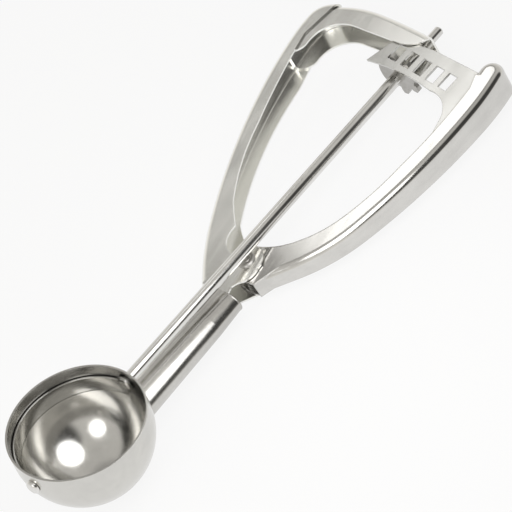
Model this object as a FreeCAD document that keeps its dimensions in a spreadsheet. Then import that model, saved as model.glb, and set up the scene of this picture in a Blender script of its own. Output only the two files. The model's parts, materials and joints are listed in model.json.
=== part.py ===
"""Squeeze-handle ice cream scoop: bowl, sweeping scraper, rack and pinion, two sprung grips."""
import FreeCAD, Part
import math
import os
import Sketcher

Vector = FreeCAD.Vector

# Driving dimensions in millimetres and degrees.
# Scoop frame: X runs along the spindle from the bowl centre, Z out of the open bowl.
# Handle frame: origin on the hinge pin at the top of the fixed grip, X up the grips.
SIZES = {
    "bowl_radius": 25.0,
    "bowl_wall": 0.8,
    "bowl_collar": 5.5,
    "spindle_radius": 2.35,
    "spindle_neck_radius": 1.5,
    "spindle_head_radius": 2.6,
    "spindle_head_height": 0.75,
    "shoulder_share": 1.00953,
    "tail_length": 10.3,
    "tail_radius": 1.8,
    "running_gap": 0.08,
    "scraper_gap": 0.3,
    "scraper_thickness": 0.6,
    "scraper_top": 0.9,
    "scraper_depth": 6.2,
    "scraper_tab_radius": 3.3,
    "front_pin_radius": 1.5,
    "front_pin_head_radius": 2.6,
    "front_pin_head_height": 1.6,
    "front_pin_tail_radius": 2.2,
    "front_pin_tail_height": 0.7,
    "front_pin_play": 0.1,
    "hinge_x": 88.5,
    "hinge_drop": 4.4,
    "handle_tilt": 8.93,
    "grip_sheet": 0.8,
    "grip_corner": 2.6,
    "grip_low_corner": 1.4,
    "root_height": 10.5,
    "end_height": 14.0,
    "moving_end_height": 15.1,
    "grip_length": 104.9,
    "stack_gap": 0.32,
    "low_stack_gap": 0.5,
    "nest_gap": 0.02,
    "tab_depth": 15.8,
    "tab_left": 14.0,
    "tab_right": -7.7,
    "stem_root_half_width": 9.2,
    "stem_root_half_height": 6.1,
    "stem_half_width": 8.1,
    "stem_half_height": 5.2,
    "stem_drop": 10.1,
    "stem_wall": 0.9,
    "stem_end_back": 14.1,
    "stem_end_half_width": 7.4,
    "stem_end_half_height": 4.5,
    "stem_taper_back": 26.5,
    "ear_radius": 6.3,
    "rivet_radius": 2.0,
    "rivet_head_radius": 3.4,
    "rivet_head_height": 0.9,
    "washer_radius": 5.2,
    "washer_thickness": 0.2,
    "spacer_radius": 2.7,
    "spring_wire_radius": 0.5,
    "spring_coil_radius": 4.0,
    "spring_clearance": 0.61,
    "spring_turns": 3.0,
    "spring_moving_leg": 9.5,
    "spring_fixed_leg": 18.4,
    "rack_open_angle": 8.9,
    "rack_share": 0.89609,
    "rack_sheet": 0.9,
    "rack_first_slot": 15.0,
    "slot_pitch": 6.43,
    "slot_width": 4.0,
    "slot_length": 6.6,
    "slot_count": 5,
    "pinion_share": 0.87226,
    "pinion_thickness": 1.8,
    "pinion_teeth_per_turn": 8,
    "pinion_tip_radius": 9.1,
    "pinion_root_radius": 6.4,
    "pinion_tooth_width": 3.0,
    "pinion_guard_angle": 100.0,
}

# Bends of each grip's outer edge in the handle frame, as run length and turn in degrees.
# They and the edges further down are one drawing, which stretches with the grip length.
FIXED_START = (-15.7, 9.7, 39.1)
FIXED_BENDS = [(26.0, -14.5), (62.8, -15.6), (20.6, -6.5), (10.2, -10.5), (10.1, -58.1), (3.1, -3.8)]
ARM_BENDS = [(18.1, -22.4), (24.3, -5.5)]
MOVING_START = (-4.5, -9.2, -41.3)
MOVING_BENDS = [(11.5, 0.0), (27.0, 22.4), (57.9, 13.6), (16.9, 10.3), (14.05, 175.0), (3.0, 0.0)]

doc = FreeCAD.newDocument("ice_cream_scoop")
sheet = doc.addObject("Spreadsheet::Sheet", "sizes")
table = dict(SIZES)
for name, start, bends in (("fixed", FIXED_START, FIXED_BENDS), ("arm", None, ARM_BENDS),
                           ("moving", MOVING_START, MOVING_BENDS)):
    if start:
        table[name + "_start_x"], table[name + "_start_y"], table[name + "_start_heading"] = start
    for number, (run, turn) in enumerate(bends, 1):
        table["%s_run_%d" % (name, number)] = run
        table["%s_turn_%d" % (name, number)] = turn
for row, (alias, number) in enumerate(table.items(), 1):
    sheet.set("A%d" % row, alias)
    sheet.set("B%d" % row, str(number))
    sheet.setAlias("B%d" % row, alias)
doc.recompute()


class Size:
    """A number together with the expression that ties it to the sheet."""

    def __init__(self, value, text):
        self.value = float(value)
        self.text = text

    def __add__(self, other):
        other = as_size(other)
        return Size(self.value + other.value, "(%s + %s)" % (self.text, other.text))

    def __sub__(self, other):
        other = as_size(other)
        return Size(self.value - other.value, "(%s - %s)" % (self.text, other.text))

    def __mul__(self, other):
        other = as_size(other)
        return Size(self.value * other.value, "(%s * %s)" % (self.text, other.text))

    def __neg__(self):
        return Size(-self.value, "(0 - %s)" % self.text)


def as_size(number):
    return number if isinstance(number, Size) else Size(number, repr(number))


def cell(alias):
    """A sheet cell as a Size."""
    return Size(sheet.get(alias), "sizes." + alias)


def number(alias):
    """A sheet cell as a plain number."""
    return float(sheet.get(alias))


class Outline:
    """Run of tangent arcs in a plane, which can be drawn again at a distance."""

    def __init__(self, start, heading, bends):
        self.stations = [(start[0], start[1], math.radians(heading))]
        for run, turn in bends:
            turn = math.radians(turn)
            for _ in range(2):
                x, y, course = self.stations[-1]
                half = turn / 4
                chord = run / 2 if abs(half) < 1e-9 else run / 2 * math.sin(half) / half
                self.stations.append((x + chord * math.cos(course + half),
                                      y + chord * math.sin(course + half), course + 2 * half))

    def points(self, offset=0.0):
        return [Vector(x - offset * math.sin(course), y + offset * math.cos(course), 0)
                for x, y, course in self.stations]

    def edges(self, offset=0.0):
        points = self.points(offset)
        made = []
        for first in range(0, len(points) - 2, 2):
            ends = points[first], points[first + 1], points[first + 2]
            straight = abs(self.stations[first][2] - self.stations[first + 2][2]) < 1e-9
            made.append(Part.makeLine(ends[0], ends[2]) if straight else Part.Arc(*ends).toShape())
        return made


# Sizes that follow from the driving ones.
bowl_radius = number("bowl_radius")
bowl_inside = bowl_radius - number("bowl_wall")
sheet_t = number("grip_sheet")
nest = number("nest_gap")
stack_gap = number("stack_gap")
hinge_x = number("hinge_x")
hinge_drop = number("hinge_drop")
tilt = math.radians(number("handle_tilt"))
arm_top = -(sheet_t + nest)
moving_top = -(sheet_t + stack_gap)
rack_top = moving_top - sheet_t
drawn_moving = Outline(MOVING_START[:2], MOVING_START[2], MOVING_BENDS)
stretch = number("grip_length") / max(point.x for point in drawn_moving.points())
pinion_place = cell("hinge_x") + cell("grip_length") * cell("pinion_share")
shoulder_place = cell("hinge_x") + cell("grip_length") * cell("shoulder_share")
pinion_x = pinion_place.value
FAR = 400.0


def handle_of(x, z):
    """Handle frame X and Z of a point of the scoop frame's middle plane."""
    along, up = x - hinge_x, z + hinge_drop
    return (along * math.cos(tilt) + up * math.sin(tilt),
            up * math.cos(tilt) - along * math.sin(tilt))


def stretched(points):
    """Points of the drawn plan at the real grip length."""
    return [tuple(value * stretch for value in point) for point in points]


def path_edges(steps, scale=1.0):
    """Edges through points: a pair is a corner, a pair of pairs is an arc's middle and end."""
    here = Vector(steps[0][0], steps[0][1], 0) * scale
    made = []
    for step in steps[1:]:
        if isinstance(step[0], tuple):
            middle, end = (Vector(x, y, 0) * scale for x, y in step)
            made.append(Part.Arc(here, middle, end).toShape())
        else:
            end = Vector(step[0], step[1], 0) * scale
            made.append(Part.makeLine(here, end))
        here = end
    return made


def prism(edges, bottom, top):
    """Upright solid over a closed run of edges."""
    face = Part.Face(Part.Wire(Part.__sortEdges__(edges)))
    face.translate(Vector(0, 0, bottom))
    return face.extrude(Vector(0, 0, top - bottom))


def closed(outline, offset, corners):
    """The outline at an offset, closed through the corner points."""
    points = outline.points(offset)
    ring = [points[-1]] + [Vector(x, y, 0) for x, y in corners] + [points[0]]
    return outline.edges(offset) + [Part.makeLine(a, b) for a, b in zip(ring, ring[1:])]


def below_plane(root, end):
    """Half space under a plane that falls from the hinge to the end of the grips."""
    slope = math.atan2(root - end, number("grip_length"))
    block = Part.makeBox(2 * FAR, 2 * FAR, FAR, Vector(-FAR, -FAR, -FAR))
    block.Placement = FreeCAD.Placement(Vector(0, 0, root), FreeCAD.Rotation(Vector(0, 1, 0),
                                                                             math.degrees(slope)))
    return block


def rounded_channel(outline, offset, corners, top, floor, shrink):
    """Upright block behind the outline with the corners along its outer edge rounded."""
    block = prism(closed(outline, offset, corners), top - FAR / 4, top).cut(floor)
    wall = Part.Wire(outline.edges(offset))
    for name, is_top in (("grip_corner", True), ("grip_low_corner", False)):
        chosen = []
        for edge in block.Edges:
            half = (edge.FirstParameter + edge.LastParameter) / 2
            middle = edge.valueAt(half)
            level = abs(edge.tangentAt(half).z) < 0.5
            flat = Part.Vertex(middle.x, middle.y, 0)
            if level and (middle.z > top - 1) == is_top and wall.distToShape(flat)[0] < 1e-4:
                chosen.append(edge)
        block = block.makeFillet(number(name) - shrink, chosen)
    return block


def channel(outline, side, corners, top, root, end, trim):
    """Sheet channel behind an outline: web on the outline, flanges cut by the trim."""
    skin = rounded_channel(outline, 0.0, corners, top, below_plane(root, end), 0.0)
    core = rounded_channel(outline, side * sheet_t, corners, top - sheet_t,
                           below_plane(root + sheet_t, end + sheet_t), sheet_t)
    return skin.cut(core).common(trim)


def start_of(name):
    """First point of a grip's outer edge."""
    return number(name + "_start_x") * stretch, number(name + "_start_y") * stretch


pieces = {}


def keep(label, shape, frame):
    """Store a shape as a named feature of the document."""
    feature = doc.addObject("Part::Feature", label)
    feature.Label = label
    feature.Shape = shape
    pieces[label] = (feature, frame)
    return feature


def new_body(label, frame):
    body = doc.addObject("PartDesign::Body", label)
    body.Label = label
    pieces[label] = (body, frame)
    return body


def new_sketch(body, name, role):
    sketch = body.newObject("Sketcher::SketchObject", name)
    plane = [item for item in body.Origin.OriginFeatures if item.Role == role][0]
    sketch.AttachmentSupport = [(plane, "")]
    sketch.MapMode = "FlatFace"
    return sketch


def tie(sketch, kind, geometry, vertex, size):
    """Distance of a vertex from the origin, bound to the sheet."""
    if abs(size.value) < 1e-9:
        axis = -2 if kind == "DistanceX" else -1
        sketch.addConstraint(Sketcher.Constraint("PointOnObject", geometry, vertex, axis))
        return
    row = sketch.addConstraint(Sketcher.Constraint(kind, -1, 1, geometry, vertex, size.value))
    sketch.setExpression("Constraints[%d]" % row, size.text)


def draw_polygon(sketch, corners):
    corners = [(as_size(x), as_size(y)) for x, y in corners]
    first = sketch.GeometryCount
    count = len(corners)
    for here, there in zip(corners, corners[1:] + corners[:1]):
        sketch.addGeometry(Part.LineSegment(Vector(here[0].value, here[1].value, 0),
                                            Vector(there[0].value, there[1].value, 0)))
    for line in range(count):
        following = first + (line + 1) % count
        sketch.addConstraint(Sketcher.Constraint("Coincident", first + line, 2, following, 1))
    for line, (x, y) in enumerate(corners):
        tie(sketch, "DistanceX", first + line, 1, x)
        tie(sketch, "DistanceY", first + line, 1, y)


def draw_circle(sketch, x, y, radius):
    x, y, radius = as_size(x), as_size(y), as_size(radius)
    round_edge = sketch.addGeometry(Part.Circle(Vector(x.value, y.value, 0), Vector(0, 0, 1),
                                                radius.value))
    tie(sketch, "DistanceX", round_edge, 3, x)
    tie(sketch, "DistanceY", round_edge, 3, y)
    row = sketch.addConstraint(Sketcher.Constraint("Radius", round_edge, radius.value))
    sketch.setExpression("Constraints[%d]" % row, radius.text)


def turn_profile(body, name, role, axis, corners):
    """Revolve a polygon of (along, radius) corners round a sketch axis."""
    sketch = new_sketch(body, name + "_profile", role)
    draw_polygon(sketch, corners)
    turned = body.newObject("PartDesign::Revolution", name)
    turned.Profile = sketch
    turned.ReferenceAxis = (sketch, [axis])
    turned.Angle = 360
    return turned


def make_bowl():
    """Half sphere with a straight collar, holed for the spindle and the front pin."""
    body = new_body("bowl", "scoop")
    sketch = new_sketch(body, "bowl_profile", "XZ_Plane")
    outer, wall = cell("bowl_radius"), cell("bowl_wall")
    inner, rim = outer - wall, cell("bowl_collar")
    quarter = math.pi / 2
    centre, up = Vector(0, 0, 0), Vector(0, 0, 1)
    for size in (outer, inner):
        sketch.addGeometry(Part.ArcOfCircle(Part.Circle(centre, up, size.value), -quarter, 0))
    lines = [((0, -inner.value), (0, -outer.value)), ((outer.value, 0), (outer.value, rim.value)),
             ((outer.value, rim.value), (inner.value, rim.value)),
             ((inner.value, rim.value), (inner.value, 0))]
    for (x1, y1), (x2, y2) in lines:
        sketch.addGeometry(Part.LineSegment(Vector(x1, y1, 0), Vector(x2, y2, 0)))
    for first, second in (((0, 1), (2, 2)), ((1, 1), (2, 1)), ((0, 2), (3, 1)), ((3, 2), (4, 1)),
                          ((4, 2), (5, 1)), ((5, 2), (1, 2))):
        sketch.addConstraint(Sketcher.Constraint("Coincident", *first, *second))
    for arc in (0, 1):
        sketch.addConstraint(Sketcher.Constraint("Coincident", arc, 3, -1, 1))
        sketch.addConstraint(Sketcher.Constraint("PointOnObject", arc, 1, -2))
        sketch.addConstraint(Sketcher.Constraint("PointOnObject", arc, 2, -1))
    for line in (3, 5):
        sketch.addConstraint(Sketcher.Constraint("Vertical", line))
    sketch.addConstraint(Sketcher.Constraint("Horizontal", 4))
    for arc, size in ((0, outer), (1, inner)):
        row = sketch.addConstraint(Sketcher.Constraint("Radius", arc, size.value))
        sketch.setExpression("Constraints[%d]" % row, size.text)
    row = sketch.addConstraint(Sketcher.Constraint("DistanceY", 3, 1, 3, 2, rim.value))
    sketch.setExpression("Constraints[%d]" % row, rim.text)
    shell = body.newObject("PartDesign::Revolution", "bowl_shell")
    shell.Profile = sketch
    shell.ReferenceAxis = (sketch, ["V_Axis"])
    shell.Angle = 360
    for name, radius, reverse in (("spindle_hole", cell("spindle_radius") + cell("running_gap"), True),
                                  ("pin_hole", cell("front_pin_radius"), False)):
        hole = new_sketch(body, name + "_circle", "YZ_Plane")
        draw_circle(hole, 0, 0, radius)
        cut = body.newObject("PartDesign::Pocket", name)
        cut.Profile = hole
        cut.Type = 0
        cut.Reversed = reverse
        cut.setExpression("Length", (outer * 1.2).text)


def make_spindle():
    """Rod from the scraper through the bowl to the cap arm, riveted over inside the bowl."""
    inside = cell("bowl_radius") - cell("bowl_wall")
    seat = inside - cell("scraper_gap")
    face = seat - cell("scraper_thickness")
    rounding = cell("tail_radius") * 0.35
    end = shoulder_place + cell("tail_length")
    body = new_body("spindle", "scoop")
    turn_profile(body, "spindle_rod", "XZ_Plane", "H_Axis", [
        (face - cell("spindle_head_height"), 0), (face - cell("spindle_head_height"),
                                                  cell("spindle_head_radius") * 0.7),
        (face - cell("spindle_head_height") * 0.5, cell("spindle_head_radius")),
        (face, cell("spindle_head_radius")), (face, cell("spindle_neck_radius")),
        (seat, cell("spindle_neck_radius")), (seat, cell("spindle_radius")),
        (shoulder_place, cell("spindle_radius")),
        (shoulder_place, cell("tail_radius")),
        (end - rounding, cell("tail_radius")),
        (end, cell("tail_radius") - rounding), (end, 0)])


def make_front_pin():
    """Riveted pin through the front of the bowl that carries the scraper's front tab."""
    outside = -cell("bowl_radius")
    inner = -(cell("bowl_radius") - cell("bowl_wall") - cell("scraper_gap")
              - cell("scraper_thickness") - cell("front_pin_play"))
    body = new_body("front_pivot_pin", "scoop")
    head = outside - cell("front_pin_head_height")
    tail = inner + cell("front_pin_tail_height")
    turn_profile(body, "front_pin", "XZ_Plane", "H_Axis", [
        (head, 0), (head, cell("front_pin_head_radius") * 0.75),
        (outside - cell("front_pin_head_height") * 0.6, cell("front_pin_head_radius")),
        (outside, cell("front_pin_head_radius")), (outside, cell("front_pin_radius")),
        (inner, cell("front_pin_radius")), (inner, cell("front_pin_tail_radius")),
        (tail, cell("front_pin_tail_radius") * 0.8), (tail, 0)])


def make_scraper():
    """Curved strip that hugs the inside of the bowl, with a round tab at each end."""
    outer = bowl_inside - number("scraper_gap")
    inner = outer - number("scraper_thickness")
    reach = number("scraper_tab_radius")
    shell = Part.makeSphere(outer).cut(Part.makeSphere(inner))
    belt = Part.makeBox(2 * outer, outer, number("scraper_depth"),
                        Vector(-outer, 0, number("scraper_top") - number("scraper_depth")))
    tabs = Part.makeCylinder(reach, 4 * outer, Vector(-2 * outer, 0, 0), Vector(1, 0, 0))
    blade = shell.common(belt.fuse(tabs))
    for side, hole, flat in (
            (-1, number("front_pin_radius") + number("running_gap"),
             number("front_pin_tail_radius") + number("running_gap")),
            (1, number("spindle_neck_radius"), number("spindle_head_radius"))):
        way = Vector(side, 0, 0)
        blade = blade.cut(Part.makeCylinder(hole, 2 * outer, Vector(0, 0, 0), way))
        blade = blade.cut(Part.makeCylinder(flat, inner, Vector(0, 0, 0), way))
    keep("scraper_blade", blade, "scoop")


def oval(x, half_width, half_height, drop):
    curve = Part.Ellipse(Vector(0, 0, 0), half_width, half_height)
    wire = Part.Wire(curve.toShape())
    wire.Placement = FreeCAD.Placement(Vector(x, 0, -drop), FreeCAD.Rotation(Vector(0, 1, 0), 90)
                                       * FreeCAD.Rotation(Vector(0, 0, 1), 90))
    return wire


def make_stem():
    """Rolled oval tube from the back of the bowl to the neck of the fixed grip."""
    wall = number("stem_wall")
    start = math.sqrt(bowl_radius ** 2 - number("stem_drop") ** 2) - 8.0
    stations = [(start, number("stem_root_half_width"), number("stem_root_half_height")),
                (hinge_x - number("stem_taper_back"), number("stem_half_width"), number("stem_half_height")),
                (hinge_x - number("stem_end_back"), number("stem_end_half_width"),
                 number("stem_end_half_height"))]
    drop = number("stem_drop")
    tube = Part.makeLoft([oval(x, a, b, drop) for x, a, b in stations], True, True)
    bore = Part.makeLoft([oval(x, a - wall, b - wall, drop) for x, a, b in stations], True, True)
    stem = tube.cut(bore).cut(Part.makeSphere(bowl_radius))
    keep("stem", stem, "scoop")
    return stem


def make_fixed_grip(stem):
    """Channel with its open side inward; its top plate carries the hinge ear and the tang."""
    outline = Outline(start_of("fixed"), number("fixed_start_heading"), fixed_bends)
    root, end = -number("root_height"), -number("end_height")
    ear = number("ear_radius") / stretch
    tip = outline.points()[-1] * (1 / stretch)
    beyond = [(tip.x, tip.y), (115, tip.y + 4), (115, 70), (-20, 70)]
    top = path_edges([(-26, 70), (-26, 3.4), (-26, -2.2), (-14.6, -2.2),
                      ((-13.0, -1.9), (-11.2, -1.6)), ((-9.4, -2.6), (-7.8, -4.4)),
                      ((-5.4, -5.9), (-0.17 * ear, -0.985 * ear)),
                      ((ear, 0), (0, ear)), ((2.5, 11.2), (10.1, 12.7)),
                      ((14.4, 16.5), (18.9, 20.2)), ((34.2, 27.5), (50.1, 31.8)),
                      ((69.9, 36.0), (89.3, 38.6))] + beyond[:3] + [(-26, 70)], stretch)
    low = path_edges([(-12.6, 70), (-12.6, -0.7), (-5.1, -6.6), ((-1.0, -6.5), (2.8, -5.2)),
                      ((ear + 0.4, 0), (ear * 0.85, 4.0)),
                      ((9.6, 12.5), (15.1, 19.2)), ((40.0, 29.4), (73.5, 35.3)), (89.3, 38.6)]
                     + beyond[:3] + [(-12.6, 70)], stretch)
    middle = (root + moving_top) / 2
    trim = prism(top, middle, 5).fuse(prism(low, -FAR / 4, middle))
    tang_edge = Part.makeBox(30, 60, 30, Vector(-14.2 * stretch - 30, 3.4 * stretch, -15))
    shape = channel(outline, -1, stretched([(90, -20), (-40, -20), (-40, 9.9)]), 0.0, root, end,
                    trim.cut(tang_edge))
    hole = Part.makeCylinder(number("rivet_radius"), FAR, Vector(0, 0, -FAR / 2))
    around = stem.copy()
    around.Placement = in_handle.inverse()
    keep("fixed_grip", shape.cut(hole).cut(around), "handle")


def make_cap_arm():
    """Channel nested in the end of the fixed grip that turns across behind the rack."""
    outline = Outline(start_of("fixed"), number("fixed_start_heading"), fixed_bends)
    x, y, course = outline.stations[4]
    shift = sheet_t + nest
    start = (x + shift * math.sin(course), y - shift * math.cos(course))
    nested = []
    for run, turn in fixed_bends[2:]:
        nested.append((run - shift * math.radians(-turn), turn))
    arm = Outline(start, math.degrees(course), nested + arm_bends)
    root, end = -number("root_height") + shift, -number("end_height") + shift
    trim = prism(path_edges([(80.6, 41.5), ((82.2, 37.6), (87.0, 35.8)), ((95.8, 31.6), (99.0, 23.0)),
                             (98.6, 1.0), ((99.8, -3.4), (103.9, -7.7)), (115, -7.7), (115, 70),
                             (80.6, 70), (80.6, 41.5)], stretch), -FAR / 4, 5)
    corners = stretched([(90, -20), (60, -20), (60, 30)])
    left, right = number("tab_left") * stretch, number("tab_right") * stretch
    shape = channel(arm, -1, corners, arm_top, root, end, trim)
    web_outer = prism(closed(arm, 0.0, corners), -30, end + 4)
    web_inner = prism(closed(arm, -sheet_t, corners), -31, end + 5)
    strip = Part.makeBox(40, left - right, 60, Vector(90 * stretch, right, -number("tab_depth")))
    tab = web_outer.cut(web_inner).common(strip)
    shape = shape.cut(Part.makeBox(FAR, FAR, FAR, Vector(0, left - FAR, end + 3.4 - FAR)))
    low, start = -number("tab_depth"), 90 * stretch
    belly = Part.Face(Part.makePolygon([Vector(start, y, z) for y, z in (
        (left + 0.5, end), (left - 8, low), (-9, low), (-9, low + sheet_t),
        (left - 8, low + sheet_t), (left + 0.5, end + sheet_t), (left + 0.5, end))]))
    floor_plan = prism(path_edges([(98.6, 15.5), (97.6, 8.0), (96.0, -2.0), (96.0, -4.8),
                                   (110, -4.8), (110, 15.5), (98.6, 15.5)], stretch), -FAR / 4, 5)
    belly = belly.extrude(Vector(30, 0, 0)).common(floor_plan).common(
        prism(closed(arm, 0.0, corners), -30, 5))
    tab = tab.fuse(belly)
    hole_x, hole_z = handle_of(shoulder_place.value - 10, 0)
    bore = Part.makeCylinder(number("tail_radius") + number("running_gap"), 40,
                             Vector(hole_x, 0, hole_z),
                             Vector(math.cos(tilt), 0, -math.sin(tilt)))
    keep("cap_arm", shape.fuse(tab).cut(bore).removeSplitter(), "handle")


def make_moving_grip():
    """Channel grip with a closed round end and two ears on the hinge rivet."""
    outline = Outline(start_of("moving"), number("moving_start_heading"), moving_bends)
    root = -number("root_height") + sheet_t + number("low_stack_gap")
    end = -number("moving_end_height")
    ear = (number("ear_radius") + 0.2) / stretch
    corners = stretched([(93.6, -5), (-14, 12), (-16, -4)])
    top = path_edges([(-30, -70), (-30, -9.2), (-6.6, -8.0), ((-7.2, -4.0), (-ear, 0)),
                      ((0, ear), (ear, 1.0)), ((8.4, -4.4), (14.9, -13.2)),
                      ((20.6, -18.0), (27.4, -21.9)), ((40.0, -26.6), (54.4, -30.0)),
                      ((73.0, -33.4), (91.6, -35.0)), (99.2, -33.0), (115, -33.0), (115, -70),
                      (-30, -70)], stretch)
    trim = prism(top, -FAR / 4, 5)
    shape = channel(outline, 1, corners, moving_top, root, end, trim)
    hole = Part.makeCylinder(number("rivet_radius") + number("running_gap"), FAR,
                             Vector(0, 0, -FAR / 2))
    shape = shape.cut(hole)
    keep("moving_grip", shape, "handle")
    return shape


def make_rack_plate(grip):
    """Slotted plate welded under the moving grip's top flange, with a tapering gusset."""
    radius, first = number("rack_share") * number("grip_length"), number("rack_first_slot")
    plate = prism(path_edges([(86.0, 23.4), ((88.4, 6.0), (88.0, -7.0)),
                              ((86.6, -14.8), (80.0, -19.6)), (69.0, -22.9), (69.0, -24.3),
                              (84.0, -26.2), (100.0, -25.4), (102.6, -18.8), (101.7, 3.9),
                              (98.6, 19.8), (86.0, 23.4)], stretch),
                  rack_top - number("rack_sheet"), rack_top)
    for slot in range(int(number("slot_count"))):
        centre = first - slot * number("slot_pitch")
        plate = plate.cut(Part.makeBox(number("slot_length"), number("slot_width"), FAR,
                                       Vector(radius - number("slot_length") / 2,
                                              centre - number("slot_width") / 2, -FAR / 2)))
    plate.rotate(Vector(0, 0, 0), Vector(0, 0, 1), -number("rack_open_angle"))
    keep("rack_plate", plate.cut(grip), "handle")


def make_pinion():
    """Stamped part gear on the spindle: five teeth and a plain guard sector."""
    step = 360.0 / number("pinion_teeth_per_turn")
    pitch_radius = number("slot_pitch") / math.radians(step)
    u_mesh = handle_of(pinion_x + number("pinion_thickness") / 2, pitch_radius)[0]
    here = u_mesh * math.sin(math.radians(number("rack_open_angle")))
    first = 90 - math.degrees((number("rack_first_slot") - here) / pitch_radius)
    thick, root, tip = number("pinion_thickness"), number("pinion_root_radius"), \
        number("pinion_tip_radius")
    half = number("pinion_tooth_width") / 2
    blank = Part.makeCylinder(root, thick)
    flank = math.sqrt(tip ** 2 - (half * 0.55) ** 2)
    tooth = prism(path_edges([(0, -half), (tip - half, -half), (flank, -half * 0.55),
                              ((tip, 0), (flank, half * 0.55)), (tip - half, half), (0, half),
                              (0, -half)]), 0, thick)
    for count in range(int(number("slot_count"))):
        copy = tooth.copy()
        copy.rotate(Vector(0, 0, 0), Vector(0, 0, 1), first + count * step)
        blank = blank.fuse(copy)
    span = number("pinion_guard_angle")
    guard = Part.makeCylinder(tip, thick, Vector(0, 0, 0), Vector(0, 0, 1), span)
    last = first + (int(number("slot_count")) - 1) * step
    guard.rotate(Vector(0, 0, 0), Vector(0, 0, 1), (last + first + 360 - span) / 2)
    blank = blank.fuse(guard).cut(Part.makeCylinder(number("spindle_radius"), thick))
    blank = blank.removeSplitter()
    blank.Placement = FreeCAD.Placement(Vector(pinion_x, 0, 0),
                                        FreeCAD.Rotation(Vector(0, 1, 0), Vector(0, 0, 1),
                                                         Vector(1, 0, 0), "ZXY"))
    keep("pinion", blank, "scoop")


def make_hinge():
    """Rivet, washers and spacer sleeve on the hinge axis."""
    bottom = -cell("root_height") - 0.12
    body = new_body("hinge_rivet", "handle")
    head = cell("rivet_head_height")
    turn_profile(body, "rivet", "XZ_Plane", "V_Axis", [
        (0, head), (cell("rivet_head_radius") * 0.8, head), (cell("rivet_head_radius"), head * 0.5),
        (cell("rivet_head_radius"), 0), (cell("rivet_radius"), 0), (cell("rivet_radius"), bottom),
        (cell("rivet_head_radius") * 0.9, bottom),
        (cell("rivet_head_radius") * 0.8, bottom - 0.8), (0, bottom - 0.8)])
    bore = number("rivet_radius") + number("running_gap")
    thick = number("washer_thickness")
    slope = math.atan2(number("end_height") - number("root_height"), number("grip_length"))
    seats = [FreeCAD.Placement(Vector(0, 0, -sheet_t - thick), FreeCAD.Rotation()),
             FreeCAD.Placement(Vector(0, 0, sheet_t / math.cos(slope) - number("root_height")),
                               FreeCAD.Rotation(Vector(0, 1, 0), math.degrees(slope)))]
    ring = Part.makeCylinder(number("washer_radius"), thick).cut(Part.makeCylinder(bore, thick))
    keep("hinge_washers", Part.Compound([ring.transformed(seat.Matrix) for seat in seats]),
         "handle")
    low = -number("root_height") + 2 * sheet_t + number("low_stack_gap") + 0.2
    high = moving_top - sheet_t - 0.1
    sleeve = Part.makeCylinder(number("spacer_radius"), high - low, Vector(0, 0, low)).cut(
        Part.makeCylinder(number("rivet_radius"), high - low, Vector(0, 0, low)))
    keep("hinge_spacer", sleeve, "handle")


def gap_to_itself(spine, radius):
    """Least gap between points of a tube's centre line that lie over six radii apart along it."""
    count = 400
    line = spine.discretize(Number=count)
    apart = int(6 * radius / (spine.Length / (count - 1))) + 1
    return min(line[i].distanceToPoint(line[j])
               for i in range(count) for j in range(i + apart, count)) - 2 * radius


def make_spring():
    """Torsion spring round the spacer, one leg in each grip."""
    coil, wire = number("spring_coil_radius"), number("spring_wire_radius")
    start, finish = math.radians(200), math.radians(160)
    turning = number("spring_turns") * 2 * math.pi + (start - finish)
    top = moving_top - sheet_t - 0.7
    bottom = -number("root_height") + 2 * sheet_t + number("low_stack_gap") + \
        number("spring_clearance") + wire
    pitch = (top - bottom) / (turning / (2 * math.pi))
    arcs = int(math.ceil(turning / (math.pi / 2)))

    def at(part):
        angle = start - turning * part
        return Vector(coil * math.cos(angle), coil * math.sin(angle),
                      top - pitch * turning * part / (2 * math.pi))

    edges = []
    first, last = at(0), at(1)
    away = Vector(-math.sin(start), math.cos(start), 0) * number("spring_moving_leg")
    edges.append(Part.makeLine(first + away, first))
    for count in range(arcs):
        edges.append(Part.Arc(at(count / arcs), at((count + 0.5) / arcs),
                              at((count + 1) / arcs)).toShape())
    home = Vector(math.sin(finish), -math.cos(finish), 0) * number("spring_fixed_leg")
    edges.append(Part.makeLine(last, last + home))
    spine = Part.Wire(edges)
    ring = Part.Wire(Part.Circle(first + away, away, wire).toShape())
    tube = spine.makePipeShell([ring], True, False)
    print("spring gap to itself %.2f" % gap_to_itself(spine, wire))
    keep("return_spring", tube, "handle")


def bends_of(name, count):
    return [(number("%s_run_%d" % (name, i)) * stretch, number("%s_turn_%d" % (name, i)))
            for i in range(1, count + 1)]


# The scoop lies on the bottom of the bowl and on the lowest tooth of the pinion.
pinion_back = pinion_x + number("pinion_thickness")
reach = math.hypot(pinion_back, number("pinion_tip_radius"))
rest_angle = math.asin(bowl_radius / reach) - math.atan2(number("pinion_tip_radius"), pinion_back)
level = FreeCAD.Placement(Vector(0, 0, bowl_radius),
                          FreeCAD.Rotation(Vector(0, 1, 0), math.degrees(rest_angle)))
in_handle = FreeCAD.Placement(Vector(hinge_x, 0, -hinge_drop),
                              FreeCAD.Rotation(Vector(0, 1, 0), -number("handle_tilt")))

fixed_bends = bends_of("fixed", len(FIXED_BENDS))
arm_bends = bends_of("arm", len(ARM_BENDS))
moving_bends = bends_of("moving", len(MOVING_BENDS))

make_bowl()
make_spindle()
make_front_pin()
make_scraper()
make_fixed_grip(make_stem())
make_cap_arm()
make_rack_plate(make_moving_grip())
make_pinion()
make_hinge()
make_spring()
doc.recompute()

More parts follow.
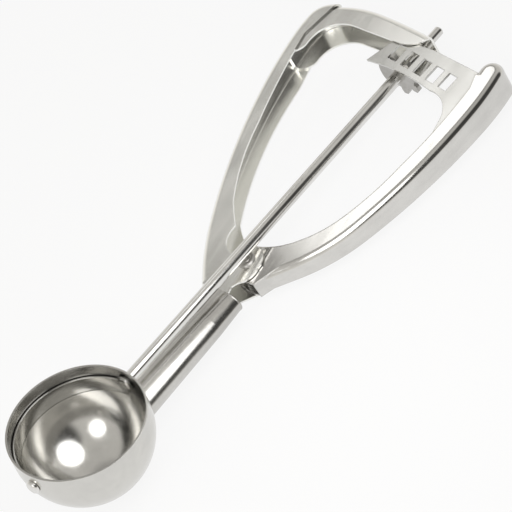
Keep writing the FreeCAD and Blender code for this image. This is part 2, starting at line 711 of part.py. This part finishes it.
handle = level * in_handle
frames = {"scoop": level, "handle": handle}
box = FreeCAD.BoundBox()
for feature, frame in pieces.values():
    solid = feature.Shape.copy()
    solid.Placement = frames[frame] * solid.Placement
    solid_box = solid.optimalBoundingBox(True, False)
    box.add(solid_box)
centre = FreeCAD.Placement(Vector(-box.Center.x, -box.Center.y, 0), FreeCAD.Rotation())
for feature, frame in pieces.values():
    feature.Placement = centre * frames[frame] * feature.Placement
doc.recompute()

for item in doc.Objects:
    state = [word for word in item.State if word in ("Invalid", "Error")]
    if state:
        raise RuntimeError("%s is %s" % (item.Label, state))
os.makedirs("parts", exist_ok=True)
for label, (feature, frame) in pieces.items():
    shape = feature.Shape
    if shape.isNull() or not shape.isValid():
        raise RuntimeError("%s has no valid shape" % label)
    shape.exportStep(os.path.join("parts", label + ".step"))
    print("%-16s solids %d volume %.1f" % (label, len(shape.Solids), shape.Volume))
axis = centre * handle
print("box %.2f %.2f %.2f" % (box.XLength, box.YLength, box.ZLength), "low", round(box.ZMin, 3))
print("rest", round(math.degrees(rest_angle), 4), "shift", -round(box.Center.x, 4), -round(box.Center.y, 4))
print("hinge at", axis.Base, "axis", axis.Rotation.multVec(Vector(0, 0, 1)))
spindle_place = centre * level
print("spindle at", spindle_place.Base, "axis", spindle_place.Rotation.multVec(Vector(1, 0, 0)))
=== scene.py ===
"""Looks of the squeeze-handle ice cream scoop: steel finishes, turned pins, joints and studio."""
import json
import math

import bpy
from mathutils import Euler, Matrix, Vector


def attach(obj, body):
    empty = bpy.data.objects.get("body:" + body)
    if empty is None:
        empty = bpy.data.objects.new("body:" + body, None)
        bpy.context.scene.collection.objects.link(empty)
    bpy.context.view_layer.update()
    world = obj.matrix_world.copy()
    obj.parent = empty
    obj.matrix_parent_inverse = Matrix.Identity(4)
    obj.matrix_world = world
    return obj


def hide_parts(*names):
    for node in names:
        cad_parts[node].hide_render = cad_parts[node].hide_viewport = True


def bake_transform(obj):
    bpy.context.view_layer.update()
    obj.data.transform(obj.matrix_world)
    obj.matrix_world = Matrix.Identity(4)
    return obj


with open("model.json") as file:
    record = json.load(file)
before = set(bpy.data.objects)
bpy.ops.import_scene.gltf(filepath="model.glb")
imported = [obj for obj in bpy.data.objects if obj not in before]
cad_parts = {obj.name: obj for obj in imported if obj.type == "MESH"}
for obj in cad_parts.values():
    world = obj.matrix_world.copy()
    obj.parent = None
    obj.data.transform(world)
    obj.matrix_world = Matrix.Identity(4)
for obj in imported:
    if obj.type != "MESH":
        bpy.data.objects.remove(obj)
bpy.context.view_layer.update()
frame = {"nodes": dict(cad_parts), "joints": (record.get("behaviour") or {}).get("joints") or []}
nodes = frame["nodes"]
MM = 0.001

# Camera, fitted to the photograph.
CAMERA_PLACE = Vector((-0.41390, -0.71214, 0.89485))
CAMERA_TURN = Euler([math.radians(turn) for turn in (39.2785, 19.1042, -52.1911)])
CAMERA_LENS = 246.1
SENSOR_WIDTH = 36.0
CAMERA_REACH = 20.0

# Lamps: the place each shines on, the way from there to the lamp, how far off it is, its width
# and depth, its turn about the upright axis in degrees, and its power in watts.
BOWL_PLACE = Vector((-0.0887, -0.0004, 0.010))
GRIP_PLACE = Vector((0.049, -0.036, 0.010))
LAMPS = {
    "round_lamp": {"aim": BOWL_PLACE, "way": Vector((0.385, -0.462, 0.799)), "distance": 0.20,
                   "width": 0.157, "depth": 0.157, "turn": 0, "power": 0.14},
    "small_lamp": {"aim": BOWL_PLACE, "way": Vector((-0.59, -0.251, 0.767)), "distance": 0.35,
                   "width": 0.17, "depth": 0.17, "turn": 0, "power": 0.15},
    "rear_lamp": {"aim": GRIP_PLACE, "way": Vector((0.303, 0.558, 0.773)), "distance": 0.45,
                  "width": 0.135, "depth": 0.06, "turn": -12, "power": 0.037},
}

# Surroundings: brightness by the height of the direction, from level to straight up.
SKY_STOPS = [(0.0, 1.0), (0.12, 0.9), (0.4, 0.75), (1.0, 0.6)]
WARM_LIGHT = (1.0, 0.98, 0.935)
WHITE = (1, 1, 1)

# Darker round patches of the surroundings that the steel shows: the way to the middle, the
# cosines at which a patch starts and is full, and the share of light it takes.
DARK_SIDE = (Vector((0.26, -0.78, 0.57)).normalized(), 0.80, 0.93, 0.90)
DARK_BACK = (Vector((0.27, 0.575, 0.772)).normalized(), 0.90, 0.985, 0.36)

# Floor: its size and drop, the grey of its matt side, how much of it glows where it is seen, and
# how much of that is left in mirrored views of it.
FLOOR_SIZE = 8.0
FLOOR_DROP = 0.2 * MM
FLOOR_GREY = 0.86
FLOOR_GLOW = 0.86
FLOOR_MIRRORED = 0.9

# Places and axes of the two joints, from the frame.
JOINTS = {joint["name"]: joint for joint in frame["joints"]}
HINGE_PLACE = Vector(JOINTS["handle_squeeze"]["pos_m"])
HINGE_AXIS = Vector(JOINTS["handle_squeeze"]["axis"]).normalized()
SPINDLE_PLACE = Vector(JOINTS["scraper_turn"]["pos_m"])
SPINDLE_AXIS = Vector(JOINTS["scraper_turn"]["axis"]).normalized()

# The spindle's axis leans with the whole scoop.
SPINDLE_LEAN = math.radians(5.0285)
SCOOP_UP = Vector((math.sin(SPINDLE_LEAN), 0, math.cos(SPINDLE_LEAN)))

# Steel surface: noise scales per metre, and the way the fine hair scratches run.
CLOUD_SCALE = 45.0
SPECK_SCALE = 900.0
STREAK_SCALE = 260.0
HAIR_SCALE = 70.0
HAIR_TURN = (0.3, 0.2, 0.7)
HAIR_STRETCH = (1.0, 30.0, 30.0)
HAIR_RANGE = (0.63, 0.70)

# Shares of the noises in the tone, the roughness and the relief of the steel.
TONE_SHARE = {"clouds": 0.6, "lines": 0.3, "specks": 0.1}
TONE_RANGE = (0.35, 0.65)
ROUGH_SHARE = {"clouds": 0.06, "lines": 0.05, "hair": 0.15, "specks": 0.03}
ROUGH_CLOUDS = (0.35, 0.7)
ROUGH_LINES = (0.3, 0.7)
ROUGH_MEAN = 0.07
SPECK_RISE = 0.03
HAIR_DEPTH = 0.1
BUMP_STRENGTH = 0.5
BUMP_DEPTH = 0.008 * MM

# Worn edges: how far the normal has to turn, and the share of roughness that wear takes.
WORN_RANGE = (0.01, 0.16)
WORN_SHINE = 0.35
BEVEL_SAMPLES = 6

# Seam along the underside of the tube.
SEAM_EDGES = (0.10 * MM, 0.32 * MM)
SEAM_UNDERSIDE = (-0.9, -0.8)
SEAM_DEPTH = 30.0

# Darker collar inside the bowl: its outer radius about the bowl's upright axis, and the heights
# over the bowl's centre between which it starts.
COLLAR_COLOUR = (0.36, 0.355, 0.34)
COLLAR_RADII = (24.27 * MM, 24.42 * MM)
COLLAR_LEVELS = (-5.2 * MM, -4.6 * MM)
COLLAR_ROUGH = 0.05

SMOOTH_ANGLE = math.radians(38)
PIN_SIDES = 48
OVAL_POINTS = 96
ROD_RESOLUTION = 3


class Link:
    """A node socket that can be used in sums and products."""

    def __init__(self, tree, socket):
        self.tree = tree
        self.socket = socket

    def maths(self, operation, *others):
        return self.tree.node("ShaderNodeMath", {"operation": operation}, {
            place: other for place, other in enumerate((self,) + others)})

    def __add__(self, other):
        return self.maths("ADD", other)

    def __sub__(self, other):
        return self.maths("SUBTRACT", other)

    def __rsub__(self, other):
        return self.tree.node("ShaderNodeMath", {"operation": "SUBTRACT"}, {0: other, 1: self})

    def __mul__(self, other):
        return self.maths("MULTIPLY", other)

    def step(self, low, high):
        """Smooth mask that rises from 0 to 1 between two values."""
        return self.tree.node("ShaderNodeMapRange", {"interpolation_type": "SMOOTHSTEP"},
                              {"Value": self, "From Min": low, "From Max": high})


class Tree:
    """A node tree that is filled by calls."""

    def __init__(self, owner):
        owner.use_nodes = True
        self.nodes = owner.node_tree.nodes
        self.links = owner.node_tree.links
        self.nodes.clear()

    def node(self, kind, settings=None, values=None, output=0):
        made = self.nodes.new(kind)
        for name, value in (settings or {}).items():
            if name == "stops":
                ramp = made.color_ramp.elements
                for place, (at, shade) in enumerate(value):
                    stop = ramp[place] if place < 2 else ramp.new(at)
                    stop.position = at
                    stop.color = (shade, shade, shade, 1)
            else:
                setattr(made, name, value)
        for name, value in (values or {}).items():
            socket = made.inputs[name]
            if isinstance(value, Link):
                self.links.new(value.socket, socket)
            else:
                socket.default_value = value
        return Link(self, made.outputs[output]) if made.outputs else None

    def vector(self, operation, *vectors, output="Vector"):
        """Vector arithmetic; a dot product or a length comes out of the Value output."""
        return self.node("ShaderNodeVectorMath", {"operation": operation},
                         dict(enumerate(vectors)), output)

    def colour(self, factor, first, second):
        """Mix of two colours; the first may be the colour from another node."""
        under = first if isinstance(first, Link) else (*first, 1)
        first_colour, second_colour, mixed_colour = 6, 7, 2
        return self.node("ShaderNodeMix", {"data_type": "RGBA"},
                         {"Factor": factor, first_colour: under, second_colour: (*second, 1)},
                         output=mixed_colour)

    def noise(self, place, scale, detail):
        return self.node("ShaderNodeTexNoise", None,
                         {"Vector": place, "Scale": scale, "Detail": detail})

    def turned(self, place, turn, stretch):
        """Coordinates turned and stretched, so a noise on them runs in streaks."""
        return self.node("ShaderNodeMapping", None,
                         {"Vector": place, "Rotation": turn, "Scale": stretch})


def steel(name, dark, light, roughness, streak=None, grain=0.35, scratches=0.25, edge=0.22,
          seam=False, collar=False):
    """Stainless steel: cloudy polish, fine streaks along the metal and bright worn edges."""
    material = bpy.data.materials.new(name)
    tree = Tree(material)
    place = tree.node("ShaderNodeTexCoord", output="Object")
    clouds = tree.noise(place, CLOUD_SCALE, detail=4.0)
    specks = tree.noise(place, SPECK_SCALE, detail=2.0)
    turn, stretch = streak or ((0, 0, 0), (1, 1, 1))
    lines = tree.noise(tree.turned(place, turn, stretch), STREAK_SCALE, detail=4.0)
    hair = tree.noise(tree.turned(place, HAIR_TURN, HAIR_STRETCH), HAIR_SCALE, detail=5.0)
    hair = hair.step(*HAIR_RANGE) * scratches
    plain_normal = tree.node("ShaderNodeNewGeometry", output="Normal")
    soft_normal = tree.node("ShaderNodeBevel", {"samples": BEVEL_SAMPLES}, {"Radius": edge * MM})
    facing = tree.vector("DOT_PRODUCT", plain_normal, soft_normal, output="Value")
    worn = (1 - facing).step(*WORN_RANGE)
    tone = clouds * TONE_SHARE["clouds"] + lines * TONE_SHARE["lines"]
    tone = (tone + specks * TONE_SHARE["specks"]).step(*TONE_RANGE)
    rough = clouds.step(*ROUGH_CLOUDS) * ROUGH_SHARE["clouds"]
    rough = rough + lines.step(*ROUGH_LINES) * ROUGH_SHARE["lines"] + hair * ROUGH_SHARE["hair"]
    rough = rough + specks * ROUGH_SHARE["specks"] + (roughness - ROUGH_MEAN)
    rough = rough - worn * (roughness * WORN_SHINE)
    colour = tree.colour(tone, dark, light)
    height = lines * grain + specks * SPECK_RISE - hair * HAIR_DEPTH
    if seam:
        across = tree.node("ShaderNodeSeparateXYZ", None, {0: place}, output="Y")
        upward = tree.node("ShaderNodeSeparateXYZ", None, {0: plain_normal}, output="Z")
        near = 1 - across.maths("ABSOLUTE").step(*SEAM_EDGES)
        line = near * (1 - upward.step(*SEAM_UNDERSIDE))
        height = height - line * SEAM_DEPTH
        colour = tree.colour(line, colour, dark)
    if collar:
        from_centre = tree.vector("ADD", place, -SPINDLE_PLACE)
        level = tree.vector("DOT_PRODUCT", from_centre, SCOOP_UP, output="Value")
        flat = tree.vector("CROSS_PRODUCT", from_centre, SCOOP_UP)
        far = tree.vector("LENGTH", flat, output="Value")
        band = (1 - far.step(*COLLAR_RADII)) * level.step(*COLLAR_LEVELS)
        colour = tree.colour(band, colour, COLLAR_COLOUR)
        rough = rough + band * COLLAR_ROUGH
    bump = tree.node("ShaderNodeBump", None, {"Strength": BUMP_STRENGTH, "Distance": BUMP_DEPTH,
                                               "Height": height, "Normal": soft_normal})
    body = tree.node("ShaderNodeBsdfPrincipled", None, {
        "Base Color": colour, "Metallic": 1.0, "Roughness": rough, "Normal": bump})
    tree.node("ShaderNodeOutputMaterial", None, {"Surface": body})
    return material


along_grips = ((0, 0, 0), (0.06, 1.0, 1.0))
along_rod = ((0, SPINDLE_LEAN, 0), (0.015, 1.0, 1.0))
satin = steel("satin_steel", (0.86, 0.855, 0.825), (0.92, 0.915, 0.885), 0.22, along_grips,
              grain=0.02, scratches=0.08)
plate = steel("plate_steel", (0.56, 0.555, 0.535), (0.64, 0.635, 0.61), 0.20, along_grips,
              grain=0.02, scratches=0.08)
polished = steel("polished_steel", (0.60, 0.59, 0.57), (0.70, 0.69, 0.665), 0.13, along_grips,
                 grain=0.08, scratches=0.2, edge=0.6)
mirror = steel("mirror_steel", (0.61, 0.60, 0.575), (0.67, 0.66, 0.63), 0.17,
               grain=0.06, scratches=0.25, collar=True)
drawn = steel("drawn_bar", (0.66, 0.65, 0.63), (0.80, 0.79, 0.77), 0.16, along_rod, grain=0.15)
stamped = steel("stamped_steel", (0.38, 0.37, 0.35), (0.55, 0.54, 0.52), 0.33, grain=0.5,
                scratches=0.35, edge=0.3)
tube = steel("tube_steel", (0.52, 0.51, 0.49), (0.64, 0.63, 0.605), 0.19, along_rod, grain=0.25,
             seam=True)
wire = steel("spring_wire", (0.62, 0.61, 0.59), (0.75, 0.74, 0.72), 0.2, grain=0.2, edge=0.1)
# Blade: painted shade, its steel is coloured darker than the bowl's so that its lower part and
# lower edge read dark against the bowl.
blade = steel("blade_steel_painted_shade", (0.48, 0.475, 0.455), (0.56, 0.555, 0.535), 0.12, grain=0.06,
              edge=0.5)

FINISHES = {
    "bowl": mirror, "stem": tube, "fixed_grip": satin, "cap_arm": satin, "moving_grip": polished,
    "rack_plate": plate, "pinion": stamped, "spindle": drawn, "scraper_blade": blade,
    "front_pivot_pin": stamped, "hinge_rivet": stamped, "hinge_spacer": stamped,
    "hinge_washers": stamped, "return_spring": wire,
}
for name, finish in FINISHES.items():
    for slot in nodes[name].material_slots:
        slot.material = finish


def deselect():
    if bpy.context.mode != "OBJECT":
        bpy.ops.object.mode_set(mode="OBJECT")
    bpy.ops.object.select_all(action="DESELECT")


def turned_pin(name, steps):
    """A pin along Z, drawn up step by step: each step is a height and a radius in millimetres."""
    deselect()
    height, radius = steps[0]
    bpy.ops.mesh.primitive_circle_add(vertices=PIN_SIDES, radius=radius * MM, fill_type="NGON",
                                      location=(0, 0, height * MM))
    pin = bpy.context.object
    pin.name = name
    bpy.ops.object.transform_apply(location=True, rotation=False, scale=False)
    bpy.ops.object.mode_set(mode="EDIT")
    bpy.ops.mesh.select_all(action="SELECT")
    for next_height, next_radius in steps[1:]:
        bpy.ops.mesh.extrude_region_move(
            TRANSFORM_OT_translate={"value": (0, 0, (next_height - height) * MM)})
        scale = next_radius / radius
        bpy.ops.transform.resize(value=(scale, scale, 1), center_override=(0, 0, 0))
        height, radius = next_height, next_radius
    bpy.ops.mesh.select_all(action="SELECT")
    bpy.ops.mesh.normals_make_consistent(inside=False)
    bpy.ops.object.mode_set(mode="OBJECT")
    return pin


def settle(piece, matrix, finish, body):
    """Put the finished piece in its place, keep the place in its mesh, and let it ride."""
    deselect()
    piece.select_set(True)
    bpy.context.view_layer.objects.active = piece
    piece.matrix_world = matrix
    bpy.ops.object.transform_apply(location=True, rotation=True, scale=True)
    bpy.ops.object.shade_smooth_by_angle(angle=SMOOTH_ANGLE)
    piece.data.materials.clear()
    piece.data.materials.append(finish)
    if body:
        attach(piece, body)


def frame_of(place, axis):
    """Matrix whose Z runs along an axis in the middle plane, with Y across the scoop."""
    across = Vector((0, 1, 0))
    columns = Matrix((across.cross(axis), across, axis)).transposed()
    return Matrix.Translation(place) @ columns.to_4x4()


hinge_frame = frame_of(HINGE_PLACE, HINGE_AXIS)

# Hinge rivet: pressed ring and dimple in the upper head, closing head under the grips.
rivet = turned_pin("hinge_rivet_turned", [
    (-11.42, 1.6), (-11.38, 2.3), (-11.2, 2.75), (-10.9, 3.05), (-10.62, 3.06), (-10.6, 2.0),
    (0.0, 2.0), (0.0, 3.4), (0.3, 3.4), (0.62, 3.1), (0.86, 2.6), (0.9, 2.2), (0.78, 2.0),
    (0.66, 1.85), (0.66, 1.55), (0.8, 1.4), (0.88, 1.1), (0.88, 0.7), (0.8, 0.35), (0.78, 0.1)])
settle(rivet, hinge_frame, stamped, "fixed_frame")
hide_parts("hinge_rivet")

# Front pivot pin: dimpled head outside the bowl, spread end inside.
pin = turned_pin("front_pin_turned", [
    (-26.45, 0.3), (-26.42, 0.9), (-26.58, 1.3), (-26.58, 1.7), (-26.45, 2.1), (-26.1, 2.45),
    (-25.7, 2.58), (-25.05, 2.58), (-25.0, 1.5), (-23.2, 1.5), (-23.18, 2.1), (-23.0, 2.18),
    (-22.75, 2.05), (-22.58, 1.5), (-22.52, 0.8)])
settle(pin, frame_of(SPINDLE_PLACE, SPINDLE_AXIS), drawn, "fixed_frame")
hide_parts("front_pivot_pin")

# Weld bead where the tube meets the bowl, and the rolled lip at the tube's other end.
BOWL_RADIUS = 25.0 * MM
TUBE_DROP = 10.1 * MM
TUBE_END = 74.2 * MM


def oval_rod(name, half_width, half_height, thick, reach):
    """Round bead along an oval about the tube; reach gives how far along it each point lies."""
    deselect()
    bpy.ops.mesh.primitive_circle_add(vertices=OVAL_POINTS, radius=1.0)
    bead = bpy.context.object
    bead.name = name
    for point in bead.data.vertices:
        side, up = point.co.x * half_width, point.co.y * half_height - TUBE_DROP
        point.co = Vector((reach(side, up), side, up))
    bpy.ops.object.convert(target="CURVE")
    bead = bpy.context.object
    bead.data.bevel_depth = thick
    bead.data.bevel_resolution = ROD_RESOLUTION
    bpy.ops.object.convert(target="MESH")
    return bpy.context.object


scoop_frame = Matrix.Translation(SPINDLE_PLACE) @ Matrix.Rotation(SPINDLE_LEAN, 4, "Y")
bead = oval_rod("bowl_weld_bead", half_width=9.2 * MM, half_height=6.1 * MM, thick=0.5 * MM,
                reach=lambda side, up: math.sqrt(BOWL_RADIUS ** 2 - side ** 2 - up ** 2))
settle(bead, scoop_frame, stamped, "fixed_frame")
lip = oval_rod("tube_end_lip", half_width=7.15 * MM, half_height=4.25 * MM, thick=0.42 * MM,
               reach=lambda side, up: TUBE_END)
settle(lip, scoop_frame, tube, "fixed_frame")

# Return spring: coil wound down from the moving leg to the fixed leg.
# Lengths are in millimetres.
COIL_RADIUS, WIRE_RADIUS = 4.0, 0.5
COIL_TOP, COIL_BOTTOM = -2.62, -7.29
COIL_START, COIL_TURN = math.radians(200), math.radians(1120)
COIL_STEPS, WIRE_SIDES = 112, 14
MOVING_LEG, FIXED_LEG = 9.5, 18.4
COIL_END = COIL_START - COIL_TURN


def on_coil(angle, height):
    """Point of the coil's middle line at an angle and a height."""
    return Vector((COIL_RADIUS * math.cos(angle), COIL_RADIUS * math.sin(angle), height)) * MM


deselect()
bpy.ops.mesh.primitive_circle_add(vertices=WIRE_SIDES, radius=WIRE_RADIUS * MM,
                                  rotation=(math.pi / 2, 0, COIL_START),
                                  location=on_coil(COIL_START, COIL_TOP))
spring = bpy.context.object
spring.name = "return_spring_wound"
bpy.ops.object.transform_apply(location=True, rotation=True, scale=True)
coil = spring.modifiers.new("coil", "SCREW")
coil.axis = "Z"
coil.angle = -COIL_TURN
coil.screw_offset = (COIL_BOTTOM - COIL_TOP) * MM
coil.steps = coil.render_steps = COIL_STEPS
coil.use_merge_vertices = False
bpy.ops.object.modifier_apply(modifier="coil")


def draw_leg(angle, height, way, length):
    """Pull the open ring of the wire at this angle and height out into a straight leg."""
    centre = on_coil(angle, height)
    reach = 2 * WIRE_RADIUS * MM
    bpy.ops.object.mode_set(mode="EDIT")
    bpy.ops.mesh.select_mode(type="EDGE")
    bpy.ops.mesh.select_all(action="DESELECT")
    bpy.ops.mesh.select_non_manifold()
    bpy.ops.object.mode_set(mode="OBJECT")
    for edge in spring.data.edges:
        ends = [spring.data.vertices[corner].co for corner in edge.vertices]
        near = all((end - centre).length < reach for end in ends)
        edge.select = edge.select and near
    bpy.ops.object.mode_set(mode="EDIT")
    bpy.ops.mesh.extrude_edges_move(TRANSFORM_OT_translate={"value": way * length * MM})
    bpy.ops.mesh.edge_face_add()
    bpy.ops.object.mode_set(mode="OBJECT")


draw_leg(COIL_START, COIL_TOP, Vector((-math.sin(COIL_START), math.cos(COIL_START), 0)), MOVING_LEG)
draw_leg(COIL_END, COIL_BOTTOM, Vector((math.sin(COIL_END), -math.cos(COIL_END), 0)), FIXED_LEG)
bpy.ops.object.mode_set(mode="EDIT")
bpy.ops.mesh.select_all(action="SELECT")
bpy.ops.mesh.normals_make_consistent(inside=False)
bpy.ops.object.mode_set(mode="OBJECT")
settle(spring, hinge_frame, wire, None)
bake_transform(spring)
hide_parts("return_spring")

# Studio: white floor and surroundings, with the lamps as soft shapes for the steel to show.
deselect()
bpy.ops.mesh.primitive_plane_add(size=FLOOR_SIZE, location=(0, 0, -FLOOR_DROP))
floor = bpy.context.object
floor.name = "studio_floor"
floor_material = bpy.data.materials.new("studio_floor")
tree = Tree(floor_material)
seen = tree.node("ShaderNodeLightPath", output="Is Camera Ray")
mirrored = tree.node("ShaderNodeLightPath", output="Is Glossy Ray")
direct = seen.maths("MAXIMUM", mirrored * FLOOR_MIRRORED)
white = tree.node("ShaderNodeEmission", None, {"Color": (*WHITE, 1), "Strength": 1.0})
matt = tree.node("ShaderNodeBsdfDiffuse", None,
                 {"Color": (FLOOR_GREY, FLOOR_GREY, FLOOR_GREY, 1)})
shown = tree.node("ShaderNodeMixShader", None, {0: direct * FLOOR_GLOW, 1: matt, 2: white})
tree.node("ShaderNodeOutputMaterial", None, {"Surface": shown})
floor.data.materials.append(floor_material)

world = bpy.data.worlds.new("studio")
bpy.context.scene.world = world
tree = Tree(world)
direction = tree.node("ShaderNodeTexCoord", output="Generated")
height = tree.node("ShaderNodeSeparateXYZ", None, {0: direction}, output="Z")
shade = tree.node("ShaderNodeValToRGB", {"stops": SKY_STOPS}, {0: height})


def light_left(way, rim, full, share):
    """Share of light left by a darker round patch of the surroundings."""
    facing = tree.vector("DOT_PRODUCT", direction, way, output="Value")
    return 1 - facing.step(rim, full) * share


dim = light_left(*DARK_SIDE) * light_left(*DARK_BACK)
seen = tree.node("ShaderNodeLightPath", output="Is Camera Ray")
strength = seen.maths("MAXIMUM", shade * dim)
warm = tree.colour(seen, WARM_LIGHT, WHITE)
room = tree.node("ShaderNodeBackground", None, {"Color": warm, "Strength": strength})
tree.node("ShaderNodeOutputWorld", None, {"Surface": room})

for name, facts in LAMPS.items():
    lamp = bpy.data.lights.new(name, "AREA")
    lamp.shape = "ELLIPSE" if facts["width"] == facts["depth"] else "RECTANGLE"
    lamp.size = facts["width"]
    lamp.size_y = facts["depth"]
    lamp.energy = facts["power"]
    lamp_object = bpy.data.objects.new(name, lamp)
    bpy.context.collection.objects.link(lamp_object)
    back = facts["way"].normalized()
    place = facts["aim"] + back * facts["distance"]
    side = Matrix.Rotation(math.radians(facts["turn"]), 4, "Z") @ Vector((1, 0, 0))
    upward = back.cross(side).normalized()
    side = upward.cross(back)
    turned = Matrix((side, upward, back)).transposed().to_4x4()
    lamp_object.matrix_world = Matrix.Translation(place) @ turned
    lamp_object.visible_camera = False

camera = bpy.data.cameras.new("camera")
camera.lens = CAMERA_LENS
camera.sensor_width = SENSOR_WIDTH
camera.clip_end = CAMERA_REACH
camera_object = bpy.data.objects.new("camera", camera)
bpy.context.collection.objects.link(camera_object)
camera_object.location = CAMERA_PLACE
camera_object.rotation_euler = CAMERA_TURN
bpy.context.scene.camera = camera_object
bpy.context.scene.view_settings.view_transform = "Standard"
